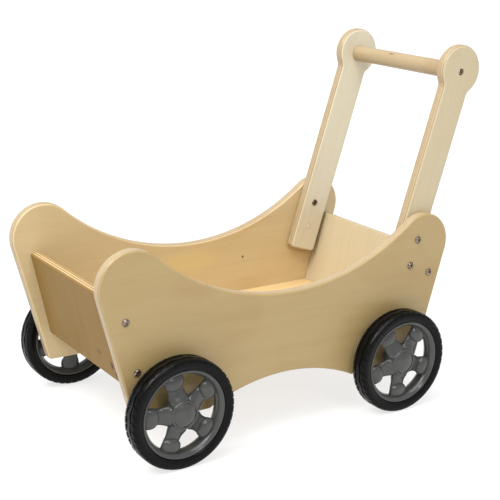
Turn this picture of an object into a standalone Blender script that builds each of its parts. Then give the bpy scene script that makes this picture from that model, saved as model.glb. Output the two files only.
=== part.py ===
"""Wooden doll's pram: a birch plywood cradle on four spoked wheels, with a fixed push handle.

Metres, +Z up.  The origin is on the ground, under the middle of the overall box.
The front of the cradle faces -Y, the handle leans back towards +Y, and X runs across.
Left and right are those of a child who stands at the handle and looks at the cradle.
"""
import math

import bmesh
import bpy

# Overall
LENGTH = 0.6196
INSIDE_WIDTH = 0.250
GAP = 0.0003

# Side panels: two lobes joined by a hollow top edge, and an arch cut out between two feet
SIDE_THICKNESS = 0.015
FRONT_LOBE_RADIUS = 0.0474
FRONT_LOBE_Z = 0.2435
REAR_LOBE_RADIUS = 0.0444
REAR_LOBE_Y = 0.2098
REAR_LOBE_Z = 0.2349
HOLLOW_RADIUS = 0.325
FOOT_Z = 0.057
FRONT_TOE_Y = -0.2588
REAR_TOE_Y = 0.2054
TOE_ROUNDING = 0.006
ARCH_RADIUS = 0.268
ARCH_Y = -0.0294
ARCH_TOP_Z = 0.0848
SIDE_ROUNDING = 0.003

# Cross panels, housed between the sides
PANEL_THICKNESS = 0.0127
FRONT_PANEL_FOOT_Y = -0.2563
FRONT_PANEL_TOP = (-0.2846, 0.2209)
REAR_PANEL_FOOT_Y = 0.1951
REAR_PANEL_TOP = (0.2238, 0.2221)
PANEL_ROUNDING = 0.0012
FLOOR_TOP_Z = 0.111
FLOOR_THICKNESS = 0.012
TONGUE_THICKNESS = 0.006
TONGUE_LENGTH = 0.005

# Handle
ARM_THICKNESS = 0.015
ARM_WIDTH = 0.0484
ARM_LENGTH = 0.327
ARM_LEAN = math.atan(0.311)
HEAD_RADIUS = 0.036
HEAD_Z = 0.4788
NECK_RADIUS = 0.012
ARM_END_ROUNDING = 0.007
ARM_ROUNDING = 0.0045
DOWEL_RADIUS = 0.012
DOWEL_SOCKET_DEPTH = 0.008
DOWEL_FROM_HEAD = 0.0022

# Fasteners
SCREW_HEAD_RADIUS = 0.0054
SCREW_HEAD_HEIGHT = 0.0026
SCREW_RADIUS = 0.0022
SCREW_LENGTH = 0.035
SCREW_HOLE_RADIUS = 0.0026
PANEL_SCREW_Z = (0.1998, 0.1300)
REAR_SCREW_Z = (0.1910, 0.1210)
BOLT_RADIUS = 0.0030
BOLT_HOLE_RADIUS = 0.0034
BOLT_FROM_HEAD = (0.2482, 0.2867)
BOLT_OFFSET = -0.0021
NUT_RADIUS = 0.0044
NUT_HOLE_RADIUS = 0.0048
NUT_LENGTH = 0.008
NUT_FLANGE_RADIUS = 0.0053
NUT_FLANGE_THICKNESS = 0.0012
PLUG_RADIUS = 0.0051
PLUG_THICKNESS = 0.004
HANDLE_SCREW_HEAD_RADIUS = 0.0044
HANDLE_SCREW_RECESS = 0.003

# Wheels and axles
WHEEL_RADIUS = 0.075
WHEEL_BASE = 0.362
FRONT_AXLE_Y = -0.2077
WHEEL_MIDDLE_X = 0.164
TYRE_WIDTH = 0.028
RIM_RADIUS = 0.060
RIM_WIDTH = 0.0236
AXLE_RADIUS = 0.004
AXLE_HOLE_RADIUS = 0.0044
AXLE_END = 0.0103
HUB_RADIUS = 0.0195
HUB_POCKET_RADIUS = 0.0166
HUB_POCKET_FLOOR = 0.0047
HUB_INNER_END = -0.0217
WINDOW_OUTER_RADIUS = 0.0515
WINDOW_INNER_RADIUS = 0.0295
WINDOW_HALF_ANGLE = 19.5
WINDOW_END_RADIUS = 0.0055
SPOKES = 5
WHEEL_FACETS = 28
# How far each wheel is rolled round, in whole facets, so that a corner of its polygon is always lowest
WHEEL_TURNS = {"front_left": 4, "rear_left": 11.03, "front_right": 14, "rear_right": 8}

OUTER_X = INSIDE_WIDTH / 2 + SIDE_THICKNESS
INNER_X = INSIDE_WIDTH / 2
PAST_SIDES_X = OUTER_X + 0.02
ARM_OUTER_X = INNER_X - GAP
ARM_INNER_X = ARM_OUTER_X - ARM_THICKNESS
REAR_AXLE_Y = FRONT_AXLE_Y + WHEEL_BASE
FLOOR_BOTTOM_Z = FLOOR_TOP_Z - FLOOR_THICKNESS
HEAD_Y = LENGTH / 2 - HEAD_RADIUS
FRONT_LOBE_Y = FRONT_LOBE_RADIUS - LENGTH / 2
SIDES = {"left": 1, "right": -1}


def clear_objects():
    """Remove every object of the scene."""
    for old in list(bpy.data.objects):
        bpy.data.objects.remove(old, do_unlink=True)


def make_collection(name):
    """A new collection in the scene."""
    group = bpy.data.collections.new(name)
    bpy.context.scene.collection.children.link(group)
    return group


def make_material(name, colour, roughness, metallic=0.0):
    """A plain finish: colour, roughness and whether it is metal."""
    finish = bpy.data.materials.new(name)
    finish.use_nodes = True
    shader = finish.node_tree.nodes["Principled BSDF"]
    shader.inputs["Base Color"].default_value = (*colour, 1.0)
    shader.inputs["Roughness"].default_value = roughness
    shader.inputs["Metallic"].default_value = metallic
    return finish


def move_to(thing, group):
    """Link an object to one collection only."""
    for old in list(thing.users_collection):
        old.objects.unlink(thing)
    group.objects.link(thing)


# Outlines, all in the plane seen from the left side: Y along, Z up


def arc(centre, radius, start, end, steps):
    """Points on a circle from the start angle to the end angle, in degrees."""
    points = []
    for step in range(steps + 1):
        angle = math.radians(start + (end - start) * step / steps)
        points.append((centre[0] + radius * math.cos(angle), centre[1] + radius * math.sin(angle)))
    return points


def direction(start, end):
    """The angle, in degrees, of the line from one point to another."""
    return math.degrees(math.atan2(end[1] - start[1], end[0] - start[0]))


def rounded_corner(before, corner, after, radius, steps=4):
    """The corner between two straight edges, turned into an arc that touches both."""
    into = direction(corner, before)
    out = direction(corner, after)
    turn = (out - into + 180) % 360 - 180
    half = math.radians(abs(turn) / 2)
    middle = math.radians(into + turn / 2)
    reach = radius / math.sin(half)
    centre = (corner[0] + reach * math.cos(middle), corner[1] + reach * math.sin(middle))
    sign = 1 if turn > 0 else -1
    start = into - sign * 90
    return arc(centre, radius, start, start + turn - sign * 180, steps)


def touch_angle(point, centre, radius, side):
    """Where, in degrees, a line through a point touches a circle."""
    distance = math.dist(point, centre)
    return direction(centre, point) + side * math.degrees(math.acos(radius / distance))


def hollow_centre(front, rear):
    """The centre of the top's hollow arc, which touches both lobes from outside."""
    front_reach = HOLLOW_RADIUS + FRONT_LOBE_RADIUS
    rear_reach = HOLLOW_RADIUS + REAR_LOBE_RADIUS
    span = math.dist(front, rear)
    along = (span**2 + front_reach**2 - rear_reach**2) / (2 * span)
    above = math.sqrt(front_reach**2 - along**2)
    unit = ((rear[0] - front[0]) / span, (rear[1] - front[1]) / span)
    return (front[0] + along * unit[0] - above * unit[1], front[1] + along * unit[1] + above * unit[0])


def side_outline():
    """A side panel, clockwise from its front foot."""
    front = (FRONT_LOBE_Y, FRONT_LOBE_Z)
    rear = (REAR_LOBE_Y, REAR_LOBE_Z)
    hollow = hollow_centre(front, rear)
    front_toe = (FRONT_TOE_Y, FOOT_Z)
    rear_toe = (REAR_TOE_Y, FOOT_Z)
    arch = (ARCH_Y, ARCH_TOP_Z - ARCH_RADIUS)
    arch_half = math.degrees(math.acos((FOOT_Z - arch[1]) / ARCH_RADIUS))
    lobe_start = touch_angle(front_toe, front, FRONT_LOBE_RADIUS, -1) + 360
    lobe_end = touch_angle(rear_toe, rear, REAR_LOBE_RADIUS, 1)
    front_lobe = arc(front, FRONT_LOBE_RADIUS, lobe_start, direction(front, hollow), 15)
    top = arc(hollow, HOLLOW_RADIUS, direction(hollow, front) + 360, direction(hollow, rear) + 360, 22)
    rear_lobe = arc(rear, REAR_LOBE_RADIUS, direction(rear, hollow), lobe_end, 15)
    under = arc(arch, ARCH_RADIUS, 90 - arch_half, 90 + arch_half, 12)
    front_corner = rounded_corner(under[-1], front_toe, front_lobe[0], TOE_ROUNDING)
    rear_corner = rounded_corner(rear_lobe[-1], rear_toe, under[0], TOE_ROUNDING)
    return front_corner + front_lobe + top[1:-1] + rear_lobe + rear_corner + under


def leaning_panel_outline(foot_y, top):
    """A cross panel, back from its front face: level at the foot, square at the top."""
    lean = math.atan2(top[0] - foot_y, top[1] - FLOOR_BOTTOM_Z)
    back_foot = (foot_y + PANEL_THICKNESS / math.cos(lean), FLOOR_BOTTOM_Z)
    back_top = (top[0] + PANEL_THICKNESS * math.cos(lean), top[1] - PANEL_THICKNESS * math.sin(lean))
    return [(foot_y, FLOOR_BOTTOM_Z), top, back_top, back_foot]


def rear_face_y(z):
    """Where the rear panel's inner face is at a height."""
    rise = (z - FLOOR_TOP_Z) / (REAR_PANEL_TOP[1] - FLOOR_TOP_Z)
    return REAR_PANEL_FOOT_Y + rise * (REAR_PANEL_TOP[0] - REAR_PANEL_FOOT_Y)


def front_face_y(z):
    """Where the front panel's outer face is at a height."""
    rise = (z - FLOOR_BOTTOM_Z) / (FRONT_PANEL_TOP[1] - FLOOR_BOTTOM_Z)
    return FRONT_PANEL_FOOT_Y + rise * (FRONT_PANEL_TOP[0] - FRONT_PANEL_FOOT_Y)


def front_inner_y(z):
    """Where the front panel's inner face is at a height."""
    lean = math.atan2(FRONT_PANEL_FOOT_Y - FRONT_PANEL_TOP[0], FRONT_PANEL_TOP[1] - FLOOR_BOTTOM_Z)
    return front_face_y(z) + PANEL_THICKNESS / math.cos(lean)


def floor_outline(bottom, top, margin):
    """A slice of the floor, with both ends cut to the slope of the cross panels."""
    return [
        (front_inner_y(bottom) + margin, bottom),
        (front_inner_y(top) + margin, top),
        (rear_face_y(top) - margin, top),
        (rear_face_y(bottom) - margin, bottom),
    ]


def arm_point(across, down):
    """A point of an arm, from the middle of its head: across to the rear, and down its length."""
    return (
        HEAD_Y + across * math.cos(ARM_LEAN) - down * math.sin(ARM_LEAN),
        HEAD_Z - across * math.sin(ARM_LEAN) - down * math.cos(ARM_LEAN),
    )


def arm_outline():
    """An arm: a round head, a short concave neck on each side, and a straight shaft."""
    half = ARM_WIDTH / 2
    neck_x = half + NECK_RADIUS
    neck_down = math.sqrt((HEAD_RADIUS + NECK_RADIUS) ** 2 - neck_x**2)
    neck_angle = math.degrees(math.atan2(-neck_down, neck_x))
    head = arc((0, 0), HEAD_RADIUS, neck_angle, 180 - neck_angle, 28)
    left_neck = arc((-neck_x, -neck_down), NECK_RADIUS, -neck_angle, 0, 4)
    right_neck = arc((neck_x, -neck_down), NECK_RADIUS, 180, 180 + neck_angle, 4)
    left_end = (-half, -ARM_LENGTH)
    right_end = (half, -ARM_LENGTH)
    left_corner = rounded_corner(left_neck[-1], left_end, right_end, ARM_END_ROUNDING)
    right_corner = rounded_corner(left_end, right_end, right_neck[0], ARM_END_ROUNDING)
    flat = head + left_neck[1:] + left_corner + right_corner + right_neck[:-1]
    return [arm_point(across, -along) for across, along in flat]


# Solids


def curve_solid(name, outlines, thickness, group):
    """Flat outlines made into one mesh object of a given thickness, in its own XY plane."""
    curve = bpy.data.curves.new(name, "CURVE")
    curve.dimensions = "2D"
    curve.fill_mode = "BOTH"
    curve.extrude = thickness / 2
    for outline in outlines:
        spline = curve.splines.new("POLY")
        spline.points.add(len(outline) - 1)
        for point, (across, up) in zip(spline.points, outline):
            point.co = (across, up, 0, 1)
        spline.use_cyclic_u = True
    guide = bpy.data.objects.new(name + "_outline", curve)
    bpy.context.scene.collection.objects.link(guide)
    view = bpy.context.evaluated_depsgraph_get()
    mesh = bpy.data.meshes.new_from_object(guide.evaluated_get(view))
    mesh.name = name
    shape = bmesh.new()
    shape.from_mesh(mesh)
    bmesh.ops.remove_doubles(shape, verts=shape.verts, dist=1e-6)
    bmesh.ops.dissolve_limit(shape, angle_limit=0.001, verts=shape.verts, edges=shape.edges)
    bmesh.ops.recalc_face_normals(shape, faces=shape.faces)
    shape.to_mesh(mesh)
    shape.free()
    solid = bpy.data.objects.new(name, mesh)
    solid.matrix_world = guide.matrix_world
    bpy.data.objects.remove(guide, do_unlink=True)
    group.objects.link(solid)
    return solid


def board(name, outline, thickness, middle_x, finish, group, rounding=0.0, segments=2):
    """A board cut to an outline in the YZ plane, with its edges rounded over."""
    solid = curve_solid(name, [outline], thickness, group)
    solid.rotation_euler = (math.pi / 2, 0, math.pi / 2)
    solid.location.x = middle_x
    if finish:
        solid.data.materials.append(finish)
    if rounding:
        edge = solid.modifiers.new("rounded_edges", "BEVEL")
        edge.width = rounding
        edge.segments = segments
        edge.limit_method = "ANGLE"
        edge.angle_limit = math.radians(40)
    return solid


def turned_mesh(name, profile, steps, closed):
    """A mesh turned about its own Z axis from a profile of (radius, height) points."""
    mesh = bpy.data.meshes.new(name)
    shape = bmesh.new()
    verts = [shape.verts.new((radius, 0, height)) for radius, height in profile]
    for first, second in zip(verts, verts[1:]):
        shape.edges.new((first, second))
    if closed:
        shape.edges.new((verts[-1], verts[0]))
    shape.to_mesh(mesh)
    shape.free()
    blank = bpy.data.objects.new(name + "_profile", mesh)
    bpy.context.scene.collection.objects.link(blank)
    turn = blank.modifiers.new("turn", "SCREW")
    turn.angle = math.tau
    turn.steps = steps
    turn.render_steps = steps
    turn.use_merge_vertices = True
    turn.merge_threshold = 0.00001
    view = bpy.context.evaluated_depsgraph_get()
    turned = bpy.data.meshes.new_from_object(blank.evaluated_get(view))
    turned.name = name
    bpy.data.objects.remove(blank, do_unlink=True)
    turned.shade_smooth()
    turned.set_sharp_from_angle(angle=math.radians(35))
    return turned


def add_piece(name, mesh, finish, group):
    """A new object for a mesh that its copies share."""
    solid = bpy.data.objects.new(name, mesh)
    if not mesh.materials:
        mesh.materials.append(finish)
    group.objects.link(solid)
    return solid


def place_turned(name, mesh, location, side, finish, group):
    """Put a turned piece on an axis along X, with its own +Z towards that side."""
    solid = add_piece(name, mesh, finish, group)
    solid.location = location
    solid.rotation_euler = (0, side * math.pi / 2, 0)
    return solid


def cross_cutter(name, radius, y, z, x_from, x_to, group, sides=12):
    """A round cutter along X between two places."""
    bpy.ops.mesh.primitive_cylinder_add(
        vertices=sides,
        radius=radius,
        depth=abs(x_to - x_from),
        location=((x_from + x_to) / 2, y, z),
        rotation=(0, math.pi / 2, 0),
    )
    cutter = bpy.context.object
    cutter.name = name
    as_cutter(cutter, group)
    return cutter


def as_cutter(cutter, group):
    """Mark an object as a tool that only cuts."""
    cutter.hide_render = True
    cutter.display_type = "WIRE"
    move_to(cutter, group)


def combine(target, tool, operation="DIFFERENCE"):
    """Cut a tool from a solid, or join it to the solid."""
    step = target.modifiers.new(operation.lower(), "BOOLEAN")
    step.operation = operation
    step.solver = "EXACT"
    step.object = tool


# Sub-parts


def make_sides(finish, parts, cutters):
    """Two side panels, drilled for the axles and fasteners and grooved for the floor."""
    holes = {
        "front_axle_hole": (AXLE_HOLE_RADIUS, FRONT_AXLE_Y, WHEEL_RADIUS),
        "rear_axle_hole": (AXLE_HOLE_RADIUS, REAR_AXLE_Y, WHEEL_RADIUS),
    }
    for number, place in enumerate(panel_screw_places()):
        holes[f"screw_hole_{number}"] = (SCREW_HOLE_RADIUS, *place)
    for number, down in enumerate(BOLT_FROM_HEAD):
        holes[f"side_bolt_hole_{number}"] = (BOLT_HOLE_RADIUS, *arm_point(BOLT_OFFSET, down))
    tools = []
    for name, (radius, y, z) in holes.items():
        tools.append(cross_cutter(name, radius, y, z, -PAST_SIDES_X, PAST_SIDES_X, cutters))
    groove_half = TONGUE_THICKNESS / 2 + GAP
    middle = (FLOOR_TOP_Z + FLOOR_BOTTOM_Z) / 2
    slot = floor_outline(middle - groove_half, middle + groove_half, 0.0)
    groove_width = INSIDE_WIDTH + 2 * (TONGUE_LENGTH + GAP)
    groove = board("floor_groove", slot, groove_width, 0, None, cutters)
    as_cutter(groove, cutters)
    tools.append(groove)
    for name, side in SIDES.items():
        middle_x = side * (INNER_X + SIDE_THICKNESS / 2)
        panel = board(
            f"side_panel_{name}", side_outline(), SIDE_THICKNESS, middle_x, finish, parts, SIDE_ROUNDING
        )
        for tool in tools:
            combine(panel, tool)


def make_cross_panels(finish, parts, cutters):
    """The front and rear panels, with a pilot hole in their ends for each screw."""
    width = INSIDE_WIDTH - 2 * GAP
    front_outline = leaning_panel_outline(FRONT_PANEL_FOOT_Y, FRONT_PANEL_TOP)
    rear_outline = leaning_panel_outline(rear_face_y(FLOOR_BOTTOM_Z), REAR_PANEL_TOP)
    front = board("front_panel", front_outline, width, 0, finish, parts, PANEL_ROUNDING, 1)
    rear = board("rear_panel", rear_outline, width, 0, finish, parts, PANEL_ROUNDING, 1)
    places = panel_screw_places()
    for number, (y, z) in enumerate(places):
        panel = front if number < len(PANEL_SCREW_Z) else rear
        for name, side in SIDES.items():
            depth_x = OUTER_X - SCREW_LENGTH - 0.002
            pilot = cross_cutter(
                f"pilot_{name}_{number}", SCREW_HOLE_RADIUS, y, z, side * depth_x, side * 0.13, cutters
            )
            combine(panel, pilot)


def make_floor(finish, parts, cutters):
    """The floor, with a tongue along each side that sits in the side panels' grooves."""
    outline = floor_outline(FLOOR_BOTTOM_Z, FLOOR_TOP_Z, GAP)
    floor = board("floor_panel", outline, INSIDE_WIDTH - 2 * GAP, 0, finish, parts)
    middle = (FLOOR_TOP_Z + FLOOR_BOTTOM_Z) / 2
    tongue_outline = floor_outline(middle - TONGUE_THICKNESS / 2, middle + TONGUE_THICKNESS / 2, 2 * GAP)
    tongue = board("floor_tongue", tongue_outline, INSIDE_WIDTH + 2 * TONGUE_LENGTH, 0, None, cutters)
    as_cutter(tongue, cutters)
    combine(floor, tongue, "UNION")


def make_arms(finish, parts, cutters):
    """Two handle arms, bored for the dowel's ends, the handle screws, bolts, nuts and plugs."""
    upper = arm_point(BOLT_OFFSET, BOLT_FROM_HEAD[0])
    lower = arm_point(BOLT_OFFSET, BOLT_FROM_HEAD[1])
    grip = arm_point(0, DOWEL_FROM_HEAD)
    socket_x = ARM_INNER_X + DOWEL_SOCKET_DEPTH
    recess_x = ARM_OUTER_X - HANDLE_SCREW_RECESS
    plug_x = ARM_INNER_X + PLUG_THICKNESS + GAP
    nut_x = plug_x + NUT_LENGTH + GAP
    for name, side in SIDES.items():
        middle_x = side * (ARM_INNER_X + ARM_THICKNESS / 2)
        arm = board(
            f"handle_arm_{name}", arm_outline(), ARM_THICKNESS, middle_x, finish, parts, ARM_ROUNDING
        )
        bores = {
            "dowel_socket": (DOWEL_RADIUS + GAP, *grip, 0.09, socket_x, 24),
            "handle_screw_hole": (SCREW_HOLE_RADIUS, *grip, 0.11, 0.13, 12),
            "handle_screw_recess": (HANDLE_SCREW_HEAD_RADIUS + 2 * GAP, *grip, recess_x, 0.13, 12),
            "upper_nut_hole": (NUT_HOLE_RADIUS, *upper, 0.1, ARM_INNER_X + NUT_LENGTH + GAP, 12),
            "upper_bolt_hole": (BOLT_HOLE_RADIUS, *upper, 0.11, 0.13, 12),
            "plug_hole": (PLUG_RADIUS + GAP, *lower, 0.1, plug_x, 12),
            "lower_nut_hole": (NUT_HOLE_RADIUS, *lower, 0.108, nut_x, 12),
            "lower_bolt_hole": (BOLT_HOLE_RADIUS, *lower, 0.115, 0.13, 12),
        }
        for bore, (radius, y, z, x_from, x_to, sides) in bores.items():
            label = f"{bore}_{name}"
            tool = cross_cutter(label, radius, y, z, side * x_from, side * x_to, cutters, sides)
            combine(arm, tool)


def make_dowel(finish, parts, cutters):
    """The round grip, let into both arms and drilled for the handle screws."""
    half = ARM_INNER_X + DOWEL_SOCKET_DEPTH - GAP
    profile = [(0, half), (DOWEL_RADIUS, half), (DOWEL_RADIUS, -half), (0, -half)]
    mesh = turned_mesh("handle_dowel", profile, 24, False)
    grip = arm_point(0, DOWEL_FROM_HEAD)
    dowel = place_turned("handle_dowel", mesh, (0, *grip), 1, finish, parts)
    for name, side in SIDES.items():
        label = f"dowel_pilot_{name}"
        depth_x = ARM_OUTER_X - HANDLE_SCREW_RECESS - SCREW_LENGTH - 0.002
        tool = cross_cutter(label, SCREW_HOLE_RADIUS, *grip, side * depth_x, side * 0.12, cutters)
        combine(dowel, tool)


def panel_screw_places():
    """Where the screws enter the side panels: front upper and lower, then rear upper and lower."""
    front_half = (front_inner_y(0) - front_face_y(0)) / 2
    rear_lean = math.atan2(REAR_PANEL_TOP[0] - REAR_PANEL_FOOT_Y, REAR_PANEL_TOP[1] - FLOOR_TOP_Z)
    rear_half = PANEL_THICKNESS / math.cos(rear_lean) / 2
    front = [(front_face_y(z) + front_half, z) for z in PANEL_SCREW_Z]
    rear = [(rear_face_y(z) + rear_half, z) for z in REAR_SCREW_Z]
    return front + rear


def fastener_profile(head_radius, head_height, shank_radius, length):
    """A domed head above the seat at height 0, and a shank below it."""
    return [
        (0, head_height),
        (head_radius * 0.62, head_height * 0.86),
        (head_radius * 0.93, head_height * 0.45),
        (head_radius, 0),
        (shank_radius, 0),
        (shank_radius, -length + shank_radius),
        (0, -length),
    ]


def make_screws(finish, parts):
    """Domed screws through the side panels into the ends of the cross panels."""
    profile = fastener_profile(SCREW_HEAD_RADIUS, SCREW_HEAD_HEIGHT, SCREW_RADIUS, SCREW_LENGTH)
    mesh = turned_mesh("panel_screw", profile, 12, False)
    labels = [f"{panel}_panel_screw_{level}" for panel in ("front", "rear") for level in ("upper", "lower")]
    for label, (y, z) in zip(labels, panel_screw_places()):
        for name, side in SIDES.items():
            seat = side * (OUTER_X + GAP)
            place_turned(f"{label}_{name}", mesh, (seat, y, z), side, finish, parts)


def make_arm_bolts(finish, parts):
    """Domed connector bolts through the side panels and arms."""
    ends = {"upper": ARM_INNER_X + 0.0015, "lower": ARM_INNER_X + PLUG_THICKNESS + 0.003}
    for (label, end_x), down in zip(ends.items(), BOLT_FROM_HEAD):
        y, z = arm_point(BOLT_OFFSET, down)
        length = OUTER_X + GAP - end_x
        profile = fastener_profile(SCREW_HEAD_RADIUS, SCREW_HEAD_HEIGHT, BOLT_RADIUS, length)
        mesh = turned_mesh(f"arm_bolt_{label}", profile, 12, False)
        for name, side in SIDES.items():
            seat = side * (OUTER_X + GAP)
            place_turned(f"arm_bolt_{label}_{name}", mesh, (seat, y, z), side, finish, parts)


def make_arm_nuts(finish, wood, parts):
    """A flanged sleeve nut on each upper bolt, and a plain one under a wood plug on each lower bolt."""
    bore = BOLT_RADIUS + GAP
    barrel = -NUT_LENGTH
    flanged = [
        (NUT_FLANGE_RADIUS, NUT_FLANGE_THICKNESS),
        (NUT_FLANGE_RADIUS, GAP),
        (NUT_RADIUS, GAP),
        (NUT_RADIUS, barrel),
        (bore, barrel),
        (bore, NUT_FLANGE_THICKNESS),
    ]
    sleeve = [(NUT_RADIUS, 0), (NUT_RADIUS, barrel), (bore, barrel), (bore, 0)]
    plug = [(0, 0), (PLUG_RADIUS, 0), (PLUG_RADIUS, -PLUG_THICKNESS + GAP), (0, -PLUG_THICKNESS + GAP)]
    flanged_mesh = turned_mesh("arm_nut_upper", flanged, 12, True)
    sleeve_mesh = turned_mesh("arm_nut_lower", sleeve, 12, True)
    plug_mesh = turned_mesh("arm_plug", plug, 12, False)
    upper = arm_point(BOLT_OFFSET, BOLT_FROM_HEAD[0])
    lower = arm_point(BOLT_OFFSET, BOLT_FROM_HEAD[1])
    sunk_x = ARM_INNER_X + PLUG_THICKNESS + GAP
    for name, side in SIDES.items():
        inner = side * ARM_INNER_X
        place_turned(f"arm_nut_upper_{name}", flanged_mesh, (inner, *upper), -side, finish, parts)
        place_turned(f"arm_nut_lower_{name}", sleeve_mesh, (side * sunk_x, *lower), -side, finish, parts)
        place_turned(f"arm_plug_{name}", plug_mesh, (inner, *lower), -side, wood, parts)


def make_handle_screws(finish, parts):
    """Screws sunk in the arms' heads, into the ends of the dowel."""
    head_height = HANDLE_SCREW_RECESS - 0.001
    profile = fastener_profile(HANDLE_SCREW_HEAD_RADIUS, head_height, SCREW_RADIUS, SCREW_LENGTH)
    mesh = turned_mesh("handle_screw", profile, 12, False)
    seat = ARM_OUTER_X - HANDLE_SCREW_RECESS + GAP
    grip = arm_point(0, DOWEL_FROM_HEAD)
    for name, side in SIDES.items():
        place_turned(f"handle_screw_{name}", mesh, (side * seat, *grip), side, finish, parts)


def make_axles(finish, parts):
    """Two steel rods through both side panels, under the floor."""
    half = WHEEL_MIDDLE_X + AXLE_END
    chamfer = 0.001
    profile = [
        (0, half),
        (AXLE_RADIUS - chamfer, half),
        (AXLE_RADIUS, half - chamfer),
        (AXLE_RADIUS, chamfer - half),
        (AXLE_RADIUS - chamfer, -half),
        (0, -half),
    ]
    mesh = turned_mesh("axle", profile, 16, False)
    place_turned("front_axle", mesh, (0, FRONT_AXLE_Y, WHEEL_RADIUS), 1, finish, parts)
    place_turned("rear_axle", mesh, (0, REAR_AXLE_Y, WHEEL_RADIUS), 1, finish, parts)


def tyre_mesh():
    """A solid rubber tyre with round shoulders, seated between the rim's lips."""
    half = TYRE_WIDTH / 2
    seat = RIM_RADIUS - 0.0035
    lip = RIM_RADIUS + 0.0004
    channel = RIM_WIDTH / 2 - 0.0022
    outer_side = [
        (WHEEL_RADIUS, half - 0.0052),
        (WHEEL_RADIUS, -half + 0.0052),
        (WHEEL_RADIUS - 0.0024, -half + 0.0018),
        (WHEEL_RADIUS - 0.0085, -half),
        (lip, -half + 0.0012),
        (lip, -channel),
    ]
    inner_side = [(seat, -channel), (seat, channel)]
    upper = [(radius, -height) for radius, height in reversed(outer_side[2:])]
    return turned_mesh("tyre", outer_side + inner_side + upper, WHEEL_FACETS, True)


def rim_mesh(cutters):
    """A moulded rim: lipped barrel, flat web cut into spokes, and a long hub with a front pocket."""
    lip = RIM_WIDTH / 2
    channel = lip - 0.0019
    bed = RIM_RADIUS - 0.0038
    web_front = 0.0055
    web_back = -0.0035
    profile = [
        (HUB_RADIUS - 0.001, 0.0125),
        (HUB_RADIUS, web_front),
        (WINDOW_OUTER_RADIUS, web_front),
        (RIM_RADIUS - 0.002, lip),
        (RIM_RADIUS, lip),
        (RIM_RADIUS, channel),
        (bed, channel),
        (bed, -channel),
        (RIM_RADIUS, -channel),
        (RIM_RADIUS, -lip),
        (RIM_RADIUS - 0.002, -lip),
        (WINDOW_OUTER_RADIUS + 0.001, web_back),
        (0.0125, web_back),
        (0.0125, HUB_INNER_END),
        (AXLE_HOLE_RADIUS, HUB_INNER_END),
        (AXLE_HOLE_RADIUS, HUB_POCKET_FLOOR),
        (HUB_POCKET_RADIUS, HUB_POCKET_FLOOR),
        (HUB_POCKET_RADIUS, 0.0125),
    ]
    blank_mesh = turned_mesh("rim_blank", profile, WHEEL_FACETS, True)
    blank = bpy.data.objects.new("rim_blank", blank_mesh)
    as_cutter(blank, cutters)
    windows = curve_solid("rim_windows", window_outlines(), 0.06, cutters)
    as_cutter(windows, cutters)
    combine(blank, windows)
    view = bpy.context.evaluated_depsgraph_get()
    mesh = bpy.data.meshes.new_from_object(blank.evaluated_get(view))
    mesh.name = "rim"
    return mesh


def window_outlines():
    """The openings between the spokes: wide and curved at the barrel, narrow and round at the hub."""
    outlines = []
    outer = arc((0, 0), WINDOW_OUTER_RADIUS, -WINDOW_HALF_ANGLE, WINDOW_HALF_ANGLE, 4)
    inner = arc((WINDOW_INNER_RADIUS, 0), WINDOW_END_RADIUS, 105, 255, 4)
    for number in range(SPOKES):
        turn = math.tau * (number + 0.5) / SPOKES
        outline = []
        for across, up in outer + inner:
            turned_across = across * math.cos(turn) - up * math.sin(turn)
            turned_up = across * math.sin(turn) + up * math.cos(turn)
            outline.append((turned_across, turned_up))
        outlines.append(outline)
    return outlines


def cap_mesh():
    """A thin domed hub cap with a skirt that snaps into the hub's pocket."""
    outer = HUB_POCKET_RADIUS - GAP
    foot = HUB_POCKET_FLOOR + GAP
    profile = [
        (0, 0.016),
        (outer * 0.55, 0.0152),
        (outer * 0.88, 0.0132),
        (outer, 0.0112),
        (outer, foot),
        (outer - 0.0016, foot),
        (outer - 0.0016, 0.0108),
        (0, 0.0138),
    ]
    return turned_mesh("hub_cap", profile, 20, False)


def retainer_mesh():
    """A push-on steel ring that grips the end of the axle."""
    bore = AXLE_RADIUS + GAP
    foot = HUB_POCKET_FLOOR + GAP
    rim_top = foot + 0.001
    collar_top = foot + 0.0028
    profile = [(0.009, rim_top), (0.009, foot), (bore, foot), (bore, collar_top), (0.006, collar_top)]
    return turned_mesh("axle_retainer", profile, 12, True)


def washer_mesh():
    """A nylon washer between the side panel and the hub."""
    near = OUTER_X + GAP - WHEEL_MIDDLE_X
    far = HUB_INNER_END - 0.0004
    bore = AXLE_RADIUS + GAP
    return turned_mesh("wheel_washer", [(0.010, far), (0.010, near), (bore, near), (bore, far)], 12, True)


def make_wheels(rubber, plastic, steel, nylon, parts, cutters):
    """Four wheels, each a tyre, a rim and a hub cap that turn on the axle, a retainer and a washer."""
    turning = {
        "tyre": (tyre_mesh(), rubber),
        "rim": (rim_mesh(cutters), plastic),
        "hub_cap": (cap_mesh(), plastic),
    }
    fixed = {"axle_retainer": (retainer_mesh(), steel), "wheel_washer": (washer_mesh(), nylon)}
    for axle, y in (("front", FRONT_AXLE_Y), ("rear", REAR_AXLE_Y)):
        for name, side in SIDES.items():
            corner = f"{axle}_{name}"
            place = (side * WHEEL_MIDDLE_X, y, WHEEL_RADIUS)
            turn = math.tau * WHEEL_TURNS[corner] / WHEEL_FACETS
            axis = bpy.data.objects.new(f"wheel_axis_{corner}", None)
            axis.location = place
            axis.rotation_euler = (0, side * math.pi / 2, 0)
            parts.objects.link(axis)
            for piece, (mesh, finish) in turning.items():
                solid = add_piece(f"{piece}_{corner}", mesh, finish, parts)
                solid.parent = axis
                solid.rotation_euler.z = turn
            for piece, (mesh, finish) in fixed.items():
                place_turned(f"{piece}_{corner}", mesh, place, side, finish, parts)


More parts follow.
